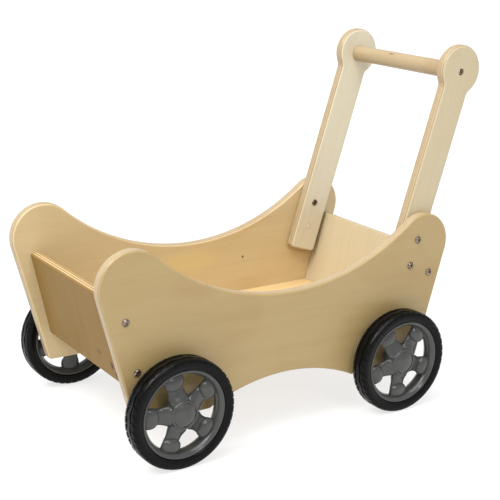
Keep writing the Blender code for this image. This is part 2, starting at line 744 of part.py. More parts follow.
def main():
    """Build the pram."""
    clear_objects()
    parts = make_collection("doll_pram")
    cutters = make_collection("doll_pram_cutters")
    plywood = make_material("birch_plywood", (0.62, 0.47, 0.27), 0.55)
    arm_wood = make_material("birch_arm", (0.70, 0.57, 0.38), 0.5)
    dowel_wood = make_material("birch_dowel", (0.66, 0.50, 0.31), 0.5)
    bolt_steel = make_material("bronzed_steel", (0.22, 0.19, 0.16), 0.35, 1.0)
    bright_steel = make_material("bright_steel", (0.6, 0.6, 0.6), 0.3, 1.0)
    rubber = make_material("black_rubber", (0.02, 0.02, 0.02), 0.55)
    grey_plastic = make_material("grey_plastic", (0.11, 0.11, 0.11), 0.4)
    nylon = make_material("black_nylon", (0.03, 0.03, 0.03), 0.5)
    make_sides(plywood, parts, cutters)
    make_cross_panels(plywood, parts, cutters)
    make_floor(plywood, parts, cutters)
    make_arms(arm_wood, parts, cutters)
    make_dowel(dowel_wood, parts, cutters)
    make_screws(bolt_steel, parts)
    make_arm_bolts(bolt_steel, parts)
    make_arm_nuts(bolt_steel, arm_wood, parts)
    make_handle_screws(bolt_steel, parts)
    make_axles(bright_steel, parts)
    make_wheels(rubber, grey_plastic, bright_steel, nylon, parts, cutters)


main()
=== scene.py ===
"""A wooden doll's pram: birch plywood cradle, leaning push handle and four spoked wheels.

Metres, +Z up, the front at -Y and the handle at +Y.  Each section makes one kind of piece.
"""
import math

import bmesh
import bpy
from mathutils import Matrix, Vector
from mathutils.geometry import intersect_sphere_sphere_2d


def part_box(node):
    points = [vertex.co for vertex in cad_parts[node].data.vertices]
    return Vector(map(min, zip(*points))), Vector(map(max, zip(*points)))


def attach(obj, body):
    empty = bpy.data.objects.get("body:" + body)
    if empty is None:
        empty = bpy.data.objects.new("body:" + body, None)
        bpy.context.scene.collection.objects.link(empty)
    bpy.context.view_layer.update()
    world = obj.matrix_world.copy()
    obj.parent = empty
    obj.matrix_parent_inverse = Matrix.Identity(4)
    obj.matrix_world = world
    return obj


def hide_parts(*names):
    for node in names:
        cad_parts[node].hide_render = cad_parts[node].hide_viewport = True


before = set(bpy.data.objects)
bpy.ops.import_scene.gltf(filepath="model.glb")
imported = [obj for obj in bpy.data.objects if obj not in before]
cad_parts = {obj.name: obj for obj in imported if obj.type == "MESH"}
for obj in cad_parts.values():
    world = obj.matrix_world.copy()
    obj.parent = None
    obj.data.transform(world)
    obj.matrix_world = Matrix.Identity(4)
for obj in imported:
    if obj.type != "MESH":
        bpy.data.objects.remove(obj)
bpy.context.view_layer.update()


# Cradle sides.  Two boards of nine-ply birch, cut to one pattern: a lobe at each end, a hollow
# between them and an arch between two feet.  The edges are rounded over with a 3 mm router bit
# and sanded, so the plies show as fine lines, and the faces have a clear satin lacquer.
SIDES = {"left": 1, "right": -1}
side_low, side_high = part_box("side_panel_left")
INNER_X = side_low.x
OUTER_X = side_high.x
SIDE_THICKNESS = OUTER_X - INNER_X
FRONT_LOBE_RADIUS = 0.0474
FRONT_LOBE = (side_low.y + FRONT_LOBE_RADIUS, 0.2435)
REAR_LOBE_RADIUS = 0.0444
REAR_LOBE = (0.2098, 0.2349)
HOLLOW_RADIUS = 0.325
FRONT_TOE = (-0.2588, side_low.z)
REAR_TOE = (0.2054, side_low.z)
TOE_TRIM = 0.005
ARCH_RADIUS = 0.268
ARCH = (-0.0294, 0.0848 - ARCH_RADIUS)
SIDE_ROUNDING = 0.003
SIDE_PLIES = 9


def heading(start, end):
    """The angle in degrees of the line between two (y, z) points."""
    return math.degrees(math.atan2(end[1] - start[1], end[0] - start[0]))


def touch_angle(point, centre, radius, side):
    """Where, in degrees, a line from a point touches a circle."""
    half = math.degrees(math.acos(radius / math.dist(point, centre)))
    return heading(centre, point) + side * half


def vertex_at(shape, x, place):
    """A new vertex at a (y, z) place."""
    return shape.verts.new((x, *place))


def on_circle(centre, radius, degrees):
    """The (y, z) point of a circle at an angle."""
    angle = math.radians(degrees)
    return (centre[0] + radius * math.cos(angle), centre[1] + radius * math.sin(angle))


def arc_from(shape, start, centre, degrees, steps):
    """Carry a vertex round a (y, z) centre, and return the arc's last vertex."""
    swept = bmesh.ops.spin(
        shape,
        geom=[start],
        cent=(start.co.x, *centre),
        axis=(1, 0, 0),
        angle=math.radians(degrees),
        steps=steps,
    )
    return [item for item in swept["geom_last"] if isinstance(item, bmesh.types.BMVert)][0]


def line_to(shape, start, place):
    """A straight edge from a vertex to a (y, z) place, and its new vertex."""
    end = vertex_at(shape, start.co.x, place)
    shape.edges.new((start, end))
    return end


def side_outline(shape, x):
    """The closed outline of a cradle side, counter-clockwise from its rear edge."""
    reach = (HOLLOW_RADIUS + FRONT_LOBE_RADIUS, HOLLOW_RADIUS + REAR_LOBE_RADIUS)
    crossings = intersect_sphere_sphere_2d(FRONT_LOBE, reach[0], REAR_LOBE, reach[1])
    hollow = max(crossings, key=lambda point: point[1])
    rear_touch = touch_angle(REAR_TOE, REAR_LOBE, REAR_LOBE_RADIUS, 1)
    front_touch = touch_angle(FRONT_TOE, FRONT_LOBE, FRONT_LOBE_RADIUS, -1) + 360
    rear_sweep = heading(REAR_LOBE, hollow) - rear_touch
    hollow_sweep = heading(hollow, FRONT_LOBE) - heading(hollow, REAR_LOBE)
    front_sweep = front_touch - heading(FRONT_LOBE, hollow)
    arch_half = math.degrees(math.acos((side_low.z - ARCH[1]) / ARCH_RADIUS))
    first = vertex_at(shape, x, on_circle(REAR_LOBE, REAR_LOBE_RADIUS, rear_touch))
    end = arc_from(shape, first, REAR_LOBE, rear_sweep, 40)
    end = arc_from(shape, end, hollow, hollow_sweep, 56)
    end = arc_from(shape, end, FRONT_LOBE, front_sweep, 44)
    end = line_to(shape, end, FRONT_TOE)
    end = line_to(shape, end, on_circle(ARCH, ARCH_RADIUS, 90 + arch_half))
    end = arc_from(shape, end, ARCH, -2 * arch_half, 28)
    end = line_to(shape, end, REAR_TOE)
    shape.edges.new((end, first))


def thicken(shape, depth):
    """Fill a closed outline and give it a thickness along X."""
    bmesh.ops.contextual_create(shape, geom=shape.edges[:])
    raised = bmesh.ops.extrude_face_region(shape, geom=shape.faces[:])
    top = [item for item in raised["geom"] if isinstance(item, bmesh.types.BMVert)]
    bmesh.ops.translate(shape, verts=top, vec=(depth, 0, 0))
    bmesh.ops.recalc_face_normals(shape, faces=shape.faces[:])


def bevel_edges(shape, edges, width, segments):
    """Round the given edges."""
    bmesh.ops.bevel(
        shape,
        geom=edges,
        offset=width,
        offset_type="OFFSET",
        segments=segments,
        profile=0.5,
        affect="EDGES",
        material=-1,
        clamp_overlap=False,
    )


def round_corners(shape, corners, width, segments):
    """Round the upright corners of a board, which stand along X at (y, z) places."""
    found = []
    for edge in shape.edges:
        middle = (edge.verts[0].co + edge.verts[1].co) / 2
        along_x = abs(edge.verts[0].co.x - edge.verts[1].co.x) > 0.001
        if along_x and any(math.dist((middle.y, middle.z), corner) < 0.0005 for corner in corners):
            found.append(edge)
    bevel_edges(shape, found, width, segments)


def round_over(shape, width, segments):
    """Round both rims of a board whose faces look along X."""
    rims = [
        edge
        for edge in shape.edges
        if sorted(abs(face.normal.x) > 0.99 for face in edge.link_faces) == [False, True]
    ]
    bevel_edges(shape, rims, width, segments)


def make_piece(name, shape, finish):
    """A smooth object from a bmesh, with its faces already in place."""
    mesh = bpy.data.meshes.new(name)
    shape.to_mesh(mesh)
    shape.free()
    mesh.materials.append(finish)
    mesh.shade_smooth()
    mesh.set_sharp_from_angle(angle=math.radians(32))
    piece = bpy.data.objects.new(name, mesh)
    bpy.context.scene.collection.objects.link(piece)
    return piece


def cut_with(piece, tool_shape, operation="DIFFERENCE"):
    """Cut a tool from a piece, or join it on, and keep the result as the piece's mesh."""
    tool_mesh = bpy.data.meshes.new(piece.name + "_tool")
    tool_shape.to_mesh(tool_mesh)
    tool_shape.free()
    tool = bpy.data.objects.new(piece.name + "_tool", tool_mesh)
    bpy.context.scene.collection.objects.link(tool)
    step = piece.modifiers.new("cut", "BOOLEAN")
    step.operation = operation
    step.solver = "EXACT"
    step.use_self = operation == "UNION"
    step.object = tool
    view = bpy.context.evaluated_depsgraph_get()
    cut_mesh = bpy.data.meshes.new_from_object(piece.evaluated_get(view))
    piece.modifiers.remove(step)
    piece.data = cut_mesh
    bpy.data.objects.remove(tool)
    cut_mesh.shade_smooth()
    cut_mesh.set_sharp_from_angle(angle=math.radians(32))


def drill(piece, holes):
    """Drill round holes along X: (radius, y, z, from x, to x)."""
    tool = bmesh.new()
    for radius, y, z, near_x, far_x in holes:
        middle = Matrix.Translation(((near_x + far_x) / 2, y, z))
        bmesh.ops.create_cone(
            tool,
            cap_ends=True,
            segments=40,
            radius1=radius,
            radius2=radius,
            depth=abs(far_x - near_x),
            matrix=middle @ Matrix.Rotation(math.pi / 2, 4, "Y"),
        )
    cut_with(piece, tool)


def even_normals(piece):
    """Keep the flat faces of a board flat beside its rounded edges."""
    weigh = piece.modifiers.new("even_normals", "WEIGHTED_NORMAL")
    weigh.keep_sharp = True


def stand_for(piece, node, body):
    """The piece takes a solid's place on its body, and the solid is hidden."""
    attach(piece, body)
    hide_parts(node)


def linear(hex_colour):
    """An sRGB hex colour as linear RGBA."""
    values = [int(hex_colour[place : place + 2], 16) / 255 for place in (1, 3, 5)]
    return [v / 12.92 if v <= 0.04045 else ((v + 0.055) / 1.055) ** 2.4 for v in values] + [1.0]


def add_node(tree, kind, settings, inputs):
    """Add a node, with its settings and each input as a value or as the socket it is linked from."""
    node = tree.nodes.new(kind)
    for name, value in settings.items():
        setattr(node, name, value)
    for name, value in inputs.items():
        if isinstance(value, bpy.types.NodeSocket):
            tree.links.new(value, node.inputs[name])
        else:
            node.inputs[name].default_value = value
    return node


def new_finish(name):
    """A new material, its node tree and its shader."""
    finish = bpy.data.materials.new(name)
    finish.use_nodes = True
    return finish, finish.node_tree, finish.node_tree.nodes["Principled BSDF"]


def lay_up(ramp, veneers, core, plies):
    """Colour a ramp through a board's thickness: a veneer on each face, and plies and glue between."""
    light, dark, glue = (linear(colour) for colour in core)
    ramp.interpolation = "CONSTANT"
    stops = [(0.0, linear(veneers[0]))]
    for ply in range(1, plies - 1):
        stops.append((ply / plies - 0.006, glue))
        stops.append((ply / plies + 0.006, dark if ply % 2 else light))
    stops.append((1 - 1 / plies, glue))
    stops.append((1 - 1 / plies + 0.012, linear(veneers[1])))
    ramp.elements[0].position, ramp.elements[0].color = stops[0]
    ramp.elements[1].position, ramp.elements[1].color = stops[-1]
    for position, colour in stops[1:-1]:
        ramp.elements.new(position).color = colour


# Lacquered rotary-cut birch: a pale, even face with a faint broad figure, fine fibres along the
# grain and a few short brown flecks.  The figure's bands are about 18 mm across and 150 mm long.
# Real fibres are 0.1 mm wide and are drawn at 1.2 mm, so that they show.
BIRCH_CORE = ("#b6a686", "#9e8968", "#725d3f")


def birch(name, veneers, plies, thickness, lie, turn, axes, blotch, marks=(), core=BIRCH_CORE):
    """Birch plywood; axes are which of the board's own X, Y, Z run through, along and across it."""
    finish, tree, shader = new_finish(name)
    place = add_node(tree, "ShaderNodeTexCoord", {}, {})
    board = add_node(
        tree,
        "ShaderNodeMapping",
        {"vector_type": "TEXTURE"},
        {"Vector": place.outputs["Object"], "Location": lie, "Rotation": (turn, 0, 0)},
    )
    split = add_node(tree, "ShaderNodeSeparateXYZ", {}, {"Vector": board.outputs["Vector"]})
    through, along, across = (split.outputs[axis] for axis in axes)
    grain = add_node(tree, "ShaderNodeCombineXYZ", {}, {"X": along, "Y": across, "Z": through})
    depth = add_node(tree, "ShaderNodeMath", {"operation": "DIVIDE"}, {0: through, 1: thickness})
    layers = add_node(tree, "ShaderNodeValToRGB", {}, {"Fac": depth.outputs["Value"]})
    lay_up(layers.color_ramp, veneers, core, plies)
    tone = layers.outputs["Color"]
    # Each look's cycles per metre along, across and through the board, its detail and distortion
    looks = {
        "figure": ((6, 55, 55), 3.0, 0.8),
        "fibre": ((14, 800, 800), 2.0, 0.0),
        "fleck": ((70, 900, 900), 1.0, 0.0),
        "patch": ((9, 16, 16), 2.0, 0.4),
    }
    noise = {}
    for look, (stretch, detail, distortion) in looks.items():
        spread = add_node(
            tree,
            "ShaderNodeVectorMath",
            {"operation": "MULTIPLY"},
            {0: grain.outputs["Vector"], 1: stretch},
        )
        noise[look] = add_node(
            tree,
            "ShaderNodeTexNoise",
            {},
            {
                "Vector": spread.outputs["Vector"],
                "Scale": 1.0,
                "Detail": detail,
                "Distortion": distortion,
            },
        ).outputs["Fac"]
    # Each look's noise from none to full, its greatest strength and its tint
    shades = {
        "figure": (0.35, 0.70, 0.12, "#d9c6a4"),
        "fibre": (0.40, 0.75, 0.09, "#d2b98f"),
        "fleck": (0.68, 0.80, 0.14, "#b08a5c"),
        "patch": (0.50, 0.75, blotch, "#e0b070"),
    }
    for look, (low, high, most, tint) in shades.items():
        amount = add_node(
            tree,
            "ShaderNodeMapRange",
            {"interpolation_type": "SMOOTHSTEP"},
            {"Value": noise[look], "From Min": low, "From Max": high, "To Max": most},
        )
        tone = add_node(
            tree,
            "ShaderNodeMix",
            {"data_type": "RGBA", "blend_type": "MULTIPLY"},
            {"Factor": amount.outputs["Result"], 6: tone, 7: linear(tint)},
        ).outputs[2]
    # Each mark is a soft ellipsoid: its centre, its reach along X, Y and Z, and its tint
    for centre, reach, tint in marks:
        away = add_node(
            tree,
            "ShaderNodeVectorMath",
            {"operation": "SUBTRACT"},
            {0: place.outputs["Object"], 1: centre},
        )
        squeezed = add_node(
            tree,
            "ShaderNodeVectorMath",
            {"operation": "DIVIDE"},
            {0: away.outputs["Vector"], 1: reach},
        )
        distance = add_node(
            tree, "ShaderNodeVectorMath", {"operation": "LENGTH"}, {0: squeezed.outputs["Vector"]}
        )
        amount = add_node(
            tree,
            "ShaderNodeMapRange",
            {"interpolation_type": "SMOOTHSTEP"},
            {"Value": distance.outputs["Value"], "From Min": 1.0, "From Max": 0.2},
        )
        tone = add_node(
            tree,
            "ShaderNodeMix",
            {"data_type": "RGBA"},
            {"Factor": amount.outputs["Result"], 6: tone, 7: linear(tint)},
        ).outputs[2]
    tree.links.new(tone, shader.inputs["Base Color"])
    relief = add_node(
        tree, "ShaderNodeBump", {}, {"Height": noise["fibre"], "Strength": 0.12, "Distance": 0.00015}
    )
    tree.links.new(relief.outputs["Normal"], shader.inputs["Normal"])
    rough = add_node(
        tree, "ShaderNodeMapRange", {}, {"Value": noise["figure"], "To Min": 0.42, "To Max": 0.54}
    )
    tree.links.new(rough.outputs["Result"], shader.inputs["Roughness"])
    shader.inputs["Coat Weight"].default_value = 0.25
    shader.inputs["Coat Roughness"].default_value = 0.3
    return finish


THROUGH_X = ("X", "Y", "Z")
for name, side in SIDES.items():
    # The inner face's veneer is lighter than the outer's: painted light on the inner faces, within the
    # cradle, and painted shade on the outer faces
    veneers = ("#c5b086", "#a68f60")
    lie = (INNER_X, 0, 0)
    marks = []
    if side < 0:
        veneers = veneers[::-1]
        lie = (-OUTER_X, 0.37, 0.11)
        # A pin knot and a warm patch on the inner face, and a gap in a ply of the front edge
        marks = [
            ((-INNER_X, 0.0723, 0.1659), (0.003, 0.0030, 0.0030), "#2e1c0e"),
            ((-INNER_X, -0.0275, 0.1718), (0.003, 0.075, 0.028), "#c9b37f"),
            ((-0.1345, -0.281, 0.147), (0.0016, 0.030, 0.024), "#4a3020"),
        ]
    finish = birch(
        f"birch_plywood_side_{name}",
        veneers,
        SIDE_PLIES,
        SIDE_THICKNESS,
        lie,
        0,
        THROUGH_X,
        0.14,
        marks,
    )
    shape = bmesh.new()
    side_outline(shape, side * INNER_X)
    thicken(shape, side * SIDE_THICKNESS)
    round_corners(shape, (FRONT_TOE, REAR_TOE), TOE_TRIM, 6)
    round_over(shape, SIDE_ROUNDING, 5)
    panel = make_piece(f"cradle_side_{name}", shape, finish)
    even_normals(panel)
    stand_for(panel, f"side_panel_{name}", "cradle")


# Front and rear boards.  Half-inch birch plywood, seven plies, glued and screwed between the sides.
# Both lean outwards, so the cradle opens towards the top; their rims are only eased with sandpaper.
PANEL_THICKNESS = 0.0127
PANEL_PLIES = 7
PANEL_EASING = 0.0012
SHADED_GLOSS = 0.1
# These boards' edges are cut across darker plies than the sides have
PANEL_CORE = ("#c9b287", "#8f7550", "#6a4f30")
UP_THE_BOARD = ("Y", "Z", "X")
front_low, front_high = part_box("front_panel")
rear_low, rear_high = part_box("rear_panel")
floor_low, floor_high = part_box("floor_panel")
FRONT_FOOT = (-0.2563, front_low.z)
FRONT_TOP = (front_low.y, 0.2209)
REAR_TOP = (0.2238, 0.2221)
REAR_AT_FLOOR = (0.1951, floor_high.z)
rear_lean = math.atan2(REAR_TOP[0] - REAR_AT_FLOOR[0], REAR_TOP[1] - REAR_AT_FLOOR[1])
front_lean = math.atan2(FRONT_TOP[0] - FRONT_FOOT[0], FRONT_TOP[1] - FRONT_FOOT[1])
REAR_FOOT = (REAR_TOP[0] - (REAR_TOP[1] - rear_low.z) * math.tan(rear_lean), rear_low.z)


def leaning_board(x, foot, top, lean):
    """A board that leans from its foot, level below and square above."""
    shape = bmesh.new()
    across = (PANEL_THICKNESS * math.cos(lean), -PANEL_THICKNESS * math.sin(lean))
    first = vertex_at(shape, x, (foot[0] + PANEL_THICKNESS / math.cos(lean), foot[1]))
    end = line_to(shape, first, (top[0] + across[0], top[1] + across[1]))
    end = line_to(shape, end, top)
    end = line_to(shape, end, foot)
    shape.edges.new((end, first))
    thicken(shape, -2 * x)
    bevel_edges(shape, shape.edges[:], PANEL_EASING, 3)
    return shape


boards = {
    # The front board's dark outer veneer, #816637, is painted shade
    "front": (front_high.x, FRONT_FOOT, FRONT_TOP, front_lean, ("#816637", "#b69969")),
    "rear": (rear_high.x, REAR_FOOT, REAR_TOP, rear_lean, ("#baac8d", "#b69f70")),
}
# A reddish knot in the front board's lower corner, with a small brown streak beside it
board_marks = {
    "front": [
        ((0.0785, -0.262, 0.119), (0.005, 0.02, 0.009), "#4a2412"),
        ((0.0865, -0.260, 0.108), (0.0035, 0.02, 0.008), "#452110"),
        ((0.045, -0.264, 0.128), (0.009, 0.02, 0.005), "#6a4a26"),
    ],
    "rear": [],
}
for name, (x, foot, top, lean, veneers) in boards.items():
    finish = birch(
        f"birch_plywood_{name}",
        veneers,
        PANEL_PLIES,
        PANEL_THICKNESS,
        (0.02, *foot),
        -lean,
        UP_THE_BOARD,
        0.15,
        board_marks[name],
        PANEL_CORE,
    )
    # The front board is drawn browner and nearly matt, to stand for the deep shade that it is in
    # under a darker floor than this studio has
    if name == "front":
        shaded = finish.node_tree.nodes["Principled BSDF"]
        shaded.inputs["Specular IOR Level"].default_value = SHADED_GLOSS
        shaded.inputs["Coat Weight"].default_value = 0.0
    board = make_piece(f"cradle_{name}", leaning_board(x, foot, top, lean), finish)
    even_normals(board)
    stand_for(board, f"{name}_panel", "cradle")


# Cradle floor.  A 12 mm birch board with a tongue down each side, slid into grooves in the sides,
# its ends cut to the slope of the boards that it meets.
FLOOR_PLIES = 9
TONGUE_THICKNESS = 0.006
TONGUE_LENGTH = 0.005
# Pieces that touch stand this far apart
GAP = 0.0003
THROUGH_Z = ("Z", "Y", "X")
FLOOR_THICKNESS = floor_high.z - floor_low.z
floor_half = floor_high.x - TONGUE_LENGTH - GAP
groove_middle = (floor_low.z + floor_high.z) / 2


def floor_slice(shape, x, low, high, clear):
    """A slice of the floor between two heights, thickened from x to its mirror image."""
    front_run = PANEL_THICKNESS / math.cos(front_lean) + clear

    def front_end(z):
        return FRONT_FOOT[0] + (z - FRONT_FOOT[1]) * math.tan(front_lean) + front_run

    def rear_end(z):
        return REAR_FOOT[0] + (z - REAR_FOOT[1]) * math.tan(rear_lean) - clear

    first = vertex_at(shape, x, (rear_end(low), low))
    end = line_to(shape, first, (rear_end(high), high))
    end = line_to(shape, end, (front_end(high), high))
    end = line_to(shape, end, (front_end(low), low))
    shape.edges.new((end, first))
    thicken(shape, -2 * x)


finish = birch(
    "birch_plywood_floor",
    ("#bfa475", "#d0b482"),
    FLOOR_PLIES,
    FLOOR_THICKNESS,
    (0.5, 0, floor_low.z),
    0,
    THROUGH_Z,
    0.2,
)
shape = bmesh.new()
floor_slice(shape, floor_half, floor_low.z, floor_high.z, GAP)
floor_board = make_piece("cradle_floor", shape, finish)
tongue = bmesh.new()
half_tongue = TONGUE_THICKNESS / 2
floor_slice(tongue, floor_high.x, groove_middle - half_tongue, groove_middle + half_tongue, 2 * GAP)
cut_with(floor_board, tongue, "UNION")
stand_for(floor_board, "floor_panel", "cradle")


# Handle arms.  Pale eleven-ply birch, 15 mm thick, with a round head and a straight shaft.
# All edges are rounded over generously, for small hands, and the lacquer makes them shine.
# Each is bored for the grip, for the screw in its head and for its two bolts.
arm_low, arm_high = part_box("handle_arm_left")
ARM_INNER_X = arm_low.x
ARM_OUTER_X = arm_high.x
ARM_THICKNESS = ARM_OUTER_X - ARM_INNER_X
ARM_PLIES = 11
ARM_WIDTH = 0.0484
ARM_LENGTH = 0.327
ARM_LEAN = math.atan(0.311)
HEAD_RADIUS = 0.036
HEAD = (arm_high.y - HEAD_RADIUS, arm_high.z - HEAD_RADIUS)
NECK_RADIUS = 0.012
ARM_CORNER = 0.007
ARM_ROUNDING = 0.0045
GRIP_RADIUS = 0.012
GRIP_SOCKET = 0.008
SCREW_RECESS_RADIUS = 0.005
SCREW_RECESS = 0.003
SCREW_HOLE = 0.0026
GRIP_DOWN = 0.0022
BOLT_DOWN = {"upper": 0.2482, "lower": 0.2867}
BOLT_ASIDE = -0.0021
BOLT_HOLE = 0.0034
NUT_HOLE = 0.0048
PLUG_HOLE = 0.0054
PLUG_DEPTH = 0.0043
# Where a drill starts inside an arm and comes out beyond it
DRILL_START = 0.09
DRILL_END = 0.13


def on_arm(aside, down):
    """The (y, z) place on an arm, aside to the rear and down from the middle of its head."""
    lean_y, lean_z = math.sin(ARM_LEAN), math.cos(ARM_LEAN)
    return (HEAD[0] + aside * lean_z - down * lean_y, HEAD[1] - aside * lean_y - down * lean_z)


def arm_shape(x, thickness):
    """An arm, made upright about its head and then leant back."""
    shape = bmesh.new()
    half = ARM_WIDTH / 2
    neck_y = half + NECK_RADIUS
    neck_z = -math.sqrt((HEAD_RADIUS + NECK_RADIUS) ** 2 - neck_y**2)
    dip = -math.degrees(math.atan2(neck_z, neck_y))
    first = vertex_at(shape, x, on_circle((0, 0), HEAD_RADIUS, -dip))
    end = arc_from(shape, first, (0, 0), 180 + 2 * dip, 60)
    end = arc_from(shape, end, (-neck_y, neck_z), -dip, 8)
    end = line_to(shape, end, (-half, -ARM_LENGTH))
    end = line_to(shape, end, (half, -ARM_LENGTH))
    end = line_to(shape, end, (half, neck_z))
    arc_from(shape, end, (neck_y, neck_z), -dip, 8)
    bmesh.ops.remove_doubles(shape, verts=shape.verts[:], dist=1e-5)
    thicken(shape, thickness)
    round_corners(shape, ((-half, -ARM_LENGTH), (half, -ARM_LENGTH)), ARM_CORNER, 6)
    round_over(shape, ARM_ROUNDING, 6)
    lean = Matrix.Translation((0, *HEAD)) @ Matrix.Rotation(-ARM_LEAN, 4, "X")
    bmesh.ops.transform(shape, matrix=lean, verts=shape.verts[:])
    return shape


grip_axis = on_arm(0, GRIP_DOWN)
bolts = {level: on_arm(BOLT_ASIDE, down) for level, down in BOLT_DOWN.items()}
for name, side in SIDES.items():
    # The inner face's veneer is lighter than the outer's: painted light on the inner faces and painted
    # shade on the outer faces
    veneers = ("#cbc2aa", "#bcae8e")[::side]
    lie = (ARM_INNER_X if side > 0 else -ARM_OUTER_X, *HEAD)
    finish = birch(
        f"birch_arm_{name}", veneers, ARM_PLIES, ARM_THICKNESS, lie, -ARM_LEAN, ("X", "Z", "Y"), 0.06
    )
    arm = make_piece(f"handle_side_{name}", arm_shape(side * ARM_INNER_X, side * ARM_THICKNESS), finish)
    reach = {
        "socket": (GRIP_RADIUS + 0.0001, *grip_axis, DRILL_START, ARM_INNER_X + GRIP_SOCKET),
        "screw": (SCREW_HOLE, *grip_axis, 0.11, DRILL_END),
        "recess": (SCREW_RECESS_RADIUS, *grip_axis, ARM_OUTER_X - SCREW_RECESS, DRILL_END),
        "upper_nut": (NUT_HOLE, *bolts["upper"], 0.10, ARM_INNER_X + 0.0083),
        "upper_bolt": (BOLT_HOLE, *bolts["upper"], 0.111, DRILL_END),
        "plug": (PLUG_HOLE, *bolts["lower"], 0.10, ARM_INNER_X + PLUG_DEPTH),
        "lower_nut": (NUT_HOLE, *bolts["lower"], 0.108, ARM_INNER_X + 0.0126),
        "lower_bolt": (BOLT_HOLE, *bolts["lower"], 0.115, DRILL_END),
    }
    for radius, y, z, near_x, far_x in reach.values():
        drill(arm, [(radius, y, z, side * near_x, side * far_x)])
    even_normals(arm)
    stand_for(arm, f"handle_arm_{name}", "cradle")


# Grip.  A 24 mm birch dowel, turned and sanded, let 8 mm into both heads and held by a screw
# at each end.  Its grain runs along it, with one short dark streak on top.
def lathe(shape, profile, steps, closed):
    """Turn a profile of (x, radius) points about the X axis."""
    verts = [shape.verts.new((x, 0, radius)) for x, radius in profile]
    edges = [shape.edges.new(pair) for pair in zip(verts, verts[1:])]
    if closed:
        edges.append(shape.edges.new((verts[-1], verts[0])))
    bmesh.ops.spin(
        shape,
        geom=verts + edges,
        cent=(0, 0, 0),
        axis=(1, 0, 0),
        angle=math.tau,
        steps=steps,
        use_merge=True,
    )
    bmesh.ops.remove_doubles(shape, verts=shape.verts[:], dist=1e-6)
    bmesh.ops.recalc_face_normals(shape, faces=shape.faces[:])


def move_shape(shape, x, place):
    """Move a turned shape to an axis at a (y, z) place."""
    bmesh.ops.translate(shape, verts=shape.verts[:], vec=(x, *place))


grip_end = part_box("handle_dowel")[1].x
finish = birch(
    "birch_grip",
    ("#a3906f", "#a3906f"),
    2,
    1.0,
    (0, grip_axis[0] + 0.3, grip_axis[1]),
    0,
    ("Y", "X", "Z"),
    0.3,
    [((-0.0213, grip_axis[0] - 0.0075, grip_axis[1] + 0.0094), (0.0085, 0.0016, 0.0014), "#4c301c")],
)
shape = bmesh.new()
chamfer = 0.0008
ends = [(grip_end, 0), (grip_end, GRIP_RADIUS - chamfer), (grip_end - chamfer, GRIP_RADIUS)]
lathe(shape, ends + [(-x, radius) for x, radius in reversed(ends)], 64, False)
move_shape(shape, 0, grip_axis)
grip = make_piece("handle_grip", shape, finish)
stand_for(grip, "handle_dowel", "cradle")


# Screws and bolts.  Steel with a dark bronze finish: domed heads with a hexagon socket, turned and
# then plated.  The finish is a little uneven, lighter and darker in fine patches.
HEAD_RADIUS_OF_SCREW = 0.0054
HEAD_HEIGHT = 0.0026
SCREW_RADIUS = 0.0022
SCREW_LENGTH = 0.035
BOLT_RADIUS = 0.003
SOCKET_DEPTH = 0.0016
HEX_SIDES = 6


def bronzed_steel():
    """Dark antique plating, a little uneven, over steel."""
    finish, tree, shader = new_finish("bronzed_steel")
    place = add_node(tree, "ShaderNodeTexCoord", {}, {})
    cloud = add_node(
        tree,
        "ShaderNodeTexNoise",
        {},
        {"Vector": place.outputs["Object"], "Scale": 700.0, "Detail": 3.0},
    )
    tone = add_node(tree, "ShaderNodeValToRGB", {}, {"Fac": cloud.outputs["Fac"]})
    tone.color_ramp.elements[0].position = 0.35
    tone.color_ramp.elements[0].color = linear("#5c4c40")
    tone.color_ramp.elements[1].position = 0.70
    tone.color_ramp.elements[1].color = linear("#b5a698")
    tree.links.new(tone.outputs["Color"], shader.inputs["Base Color"])
    rough = add_node(
        tree, "ShaderNodeMapRange", {}, {"Value": cloud.outputs["Fac"], "To Min": 0.14, "To Max": 0.28}
    )
    tree.links.new(rough.outputs["Result"], shader.inputs["Roughness"])
    shader.inputs["Metallic"].default_value = 1.0
    return finish


def hex_socket(shape, rim, width, depth):
    """Sink a hexagon socket into the open top of a turned head."""
    apothem = width / 2
    inner = bmesh.ops.extrude_edge_only(shape, edges=rim)["geom"]
    ring = [item for item in inner if isinstance(item, bmesh.types.BMVert)]
    for vert in ring:
        angle = math.degrees(math.atan2(vert.co.z, vert.co.y)) % (360 / HEX_SIDES)
        reach = apothem / math.cos(math.radians(angle - 180 / HEX_SIDES))
        spoke = Vector((0, vert.co.y, vert.co.z)).normalized()
        vert.co = Vector((vert.co.x, 0, 0)) + spoke * reach
    walls = [item for item in inner if isinstance(item, bmesh.types.BMEdge)]
    sunk = bmesh.ops.extrude_edge_only(shape, edges=walls)["geom"]
    floor_verts = [item for item in sunk if isinstance(item, bmesh.types.BMVert)]
    bmesh.ops.translate(shape, verts=floor_verts, vec=(-depth, 0, 0))
    bmesh.ops.contextual_create(shape, geom=[e for e in sunk if isinstance(e, bmesh.types.BMEdge)])


def domed_screw(head_radius, head_height, shank_radius, length, socket_width):
    """A domed head above its seat at X 0, a hexagon socket in it, and a plain shank."""
    shape = bmesh.new()
    ball = (head_radius**2 + head_height**2) / (2 * head_height)
    flat_radius = socket_width * 0.62
    top_angle = math.asin(flat_radius / ball)
    rim_angle = math.asin(head_radius / ball)
    profile = []
    for step in range(9):
        angle = top_angle + (rim_angle - top_angle) * step / 8
        profile.append((head_height - ball + ball * math.cos(angle), ball * math.sin(angle)))
    profile[-1] = (0.0004, head_radius)
    profile += [(0, head_radius - 0.0003), (0, shank_radius)]
    profile += [(shank_radius - length, shank_radius), (-length, 0)]
    lathe(shape, profile, 48, False)
    rim = [edge for edge in shape.edges if edge.is_boundary]
    hex_socket(shape, rim, socket_width, SOCKET_DEPTH)
    bmesh.ops.recalc_face_normals(shape, faces=shape.faces[:])
    return shape


